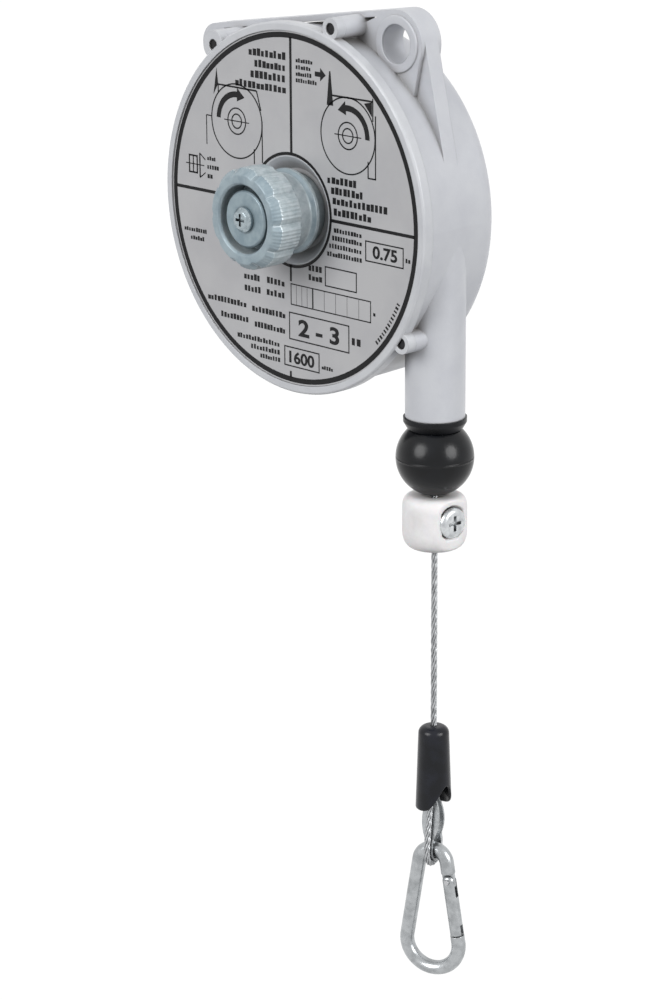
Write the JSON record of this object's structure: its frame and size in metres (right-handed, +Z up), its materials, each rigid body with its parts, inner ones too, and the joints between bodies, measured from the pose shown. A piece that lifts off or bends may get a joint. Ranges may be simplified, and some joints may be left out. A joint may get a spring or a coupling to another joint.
{
  "type": "tool balancer",
  "caption": "Spring balancer with a round die-cast housing, one hanging eye, a pull-out wire rope with rubber stop and snap hook, and a tension knob on the label side.",
  "frame": {"origin": "centre of the suspension eye, in the housing's middle plane", "axes": "+Z up, towards where the balancer hangs from; the label faces -Y; +X to the right as seen from the label, so the rope lies at +X of the drum"},
  "size_m": [0.1253, 0.0611, 0.3355],
  "materials": {
    "painted_casting": "silver-grey paint, fine satin",
    "label": "silver film with dark print",
    "dark_screw": "black oxide",
    "dark_steel": "phosphated",
    "knob_zinc": "grey satin paint",
    "steel": "turned",
    "zinc_plate": "zinc plated",
    "spring_steel": "blued",
    "drum_aluminium": "turned casting",
    "bronze": "sintered bronze",
    "wire_rope": "stranded wire",
    "black_plastic": "fine matt",
    "black_rubber": "moulded, matt",
    "white_plastic": "moulded, matt",
    "bright_zinc": "bright zinc"
  },
  "bodies": {
    "housing": {"front_cover": "painted_casting", "housing_body": "painted_casting", "label_plate": "label", "cover_screws": "dark_screw", "ratchet_ring": "dark_steel", "arbor_bush": "bronze", "outlet_guide": "black_plastic", "front_washer": "steel", "rear_washer": "steel", "cable_run": "wire_rope"},
    "drum": {"cable_drum": "drum_aluminium", "drum_cover": "dark_steel", "drum_cover_screws": "dark_screw", "front_drum_bush": "bronze", "rear_drum_bush": "bronze", "power_spring": "spring_steel", "wound_cable": "wire_rope", "drum_ferrule": "zinc_plate"},
    "arbor": {"arbor_shaft": "steel", "knob_retainer": "zinc_plate", "knob_screw": "zinc_plate", "knob_spring": "spring_steel"},
    "knob": {"tension_knob": "knob_zinc"},
    "cable_end": {"bumper_ball": "black_rubber", "stop_clamp": "white_plastic", "clamp_insert": "bronze", "clamp_screw": "zinc_plate", "cable": "wire_rope", "cable_ferrule": "zinc_plate", "ferrule_sleeve": "black_plastic", "cable_eye": "wire_rope", "thimble": "bright_zinc"},
    "hook": {"hook_body": "bright_zinc", "gate_rivet": "steel", "gate_spring": "spring_steel"},
    "gate": {"hook_gate": "bright_zinc"}
  },
  "joints": [
    {"name": "drum_spin", "type": "hinge", "parent": "housing", "child": "drum", "pos_m": [-0.03669, 0, -0.05749], "axis": [0, 1, 0], "range_deg": [0, 1837]},
    {"name": "cable_pull", "type": "slide", "parent": "housing", "child": "cable_end", "axis": [0, 0, -1], "range_m": [0, 1.6], "stiffness_N_per_m": 6.25, "springref_m": -3.2, "deforming": ["cable_run"]},
    {"name": "knob_turn", "type": "hinge", "parent": "housing", "child": "arbor", "pos_m": [-0.03669, 0, -0.05749], "axis": [0, 1, 0], "continuous": true},
    {"name": "knob_pull", "type": "slide", "parent": "arbor", "child": "knob", "axis": [0, -1, 0], "range_m": [0, 0.004], "stiffness_N_per_m": 2000, "springref_m": -0.006, "deforming": ["knob_spring"]},
    {"name": "hook_swing", "type": "hinge", "parent": "cable_end", "child": "hook", "pos_m": [0.01321, 0, -0.27699], "axis": [0.9397, 0.342, 0], "range_deg": [-75, 75]},
    {"name": "gate_open", "type": "hinge", "parent": "hook", "child": "gate", "pos_m": [0.01899, 0.0021, -0.28791], "axis": [-0.342, 0.9397, 0], "range_deg": [0, 25], "stiffness_Nm_per_rad": 0.02, "springref_deg": -34.38}
  ],
  "couplings": [
    {"joint": "cable_pull", "follows": "drum_spin", "m_per_rad": 0.0499}
  ]
}
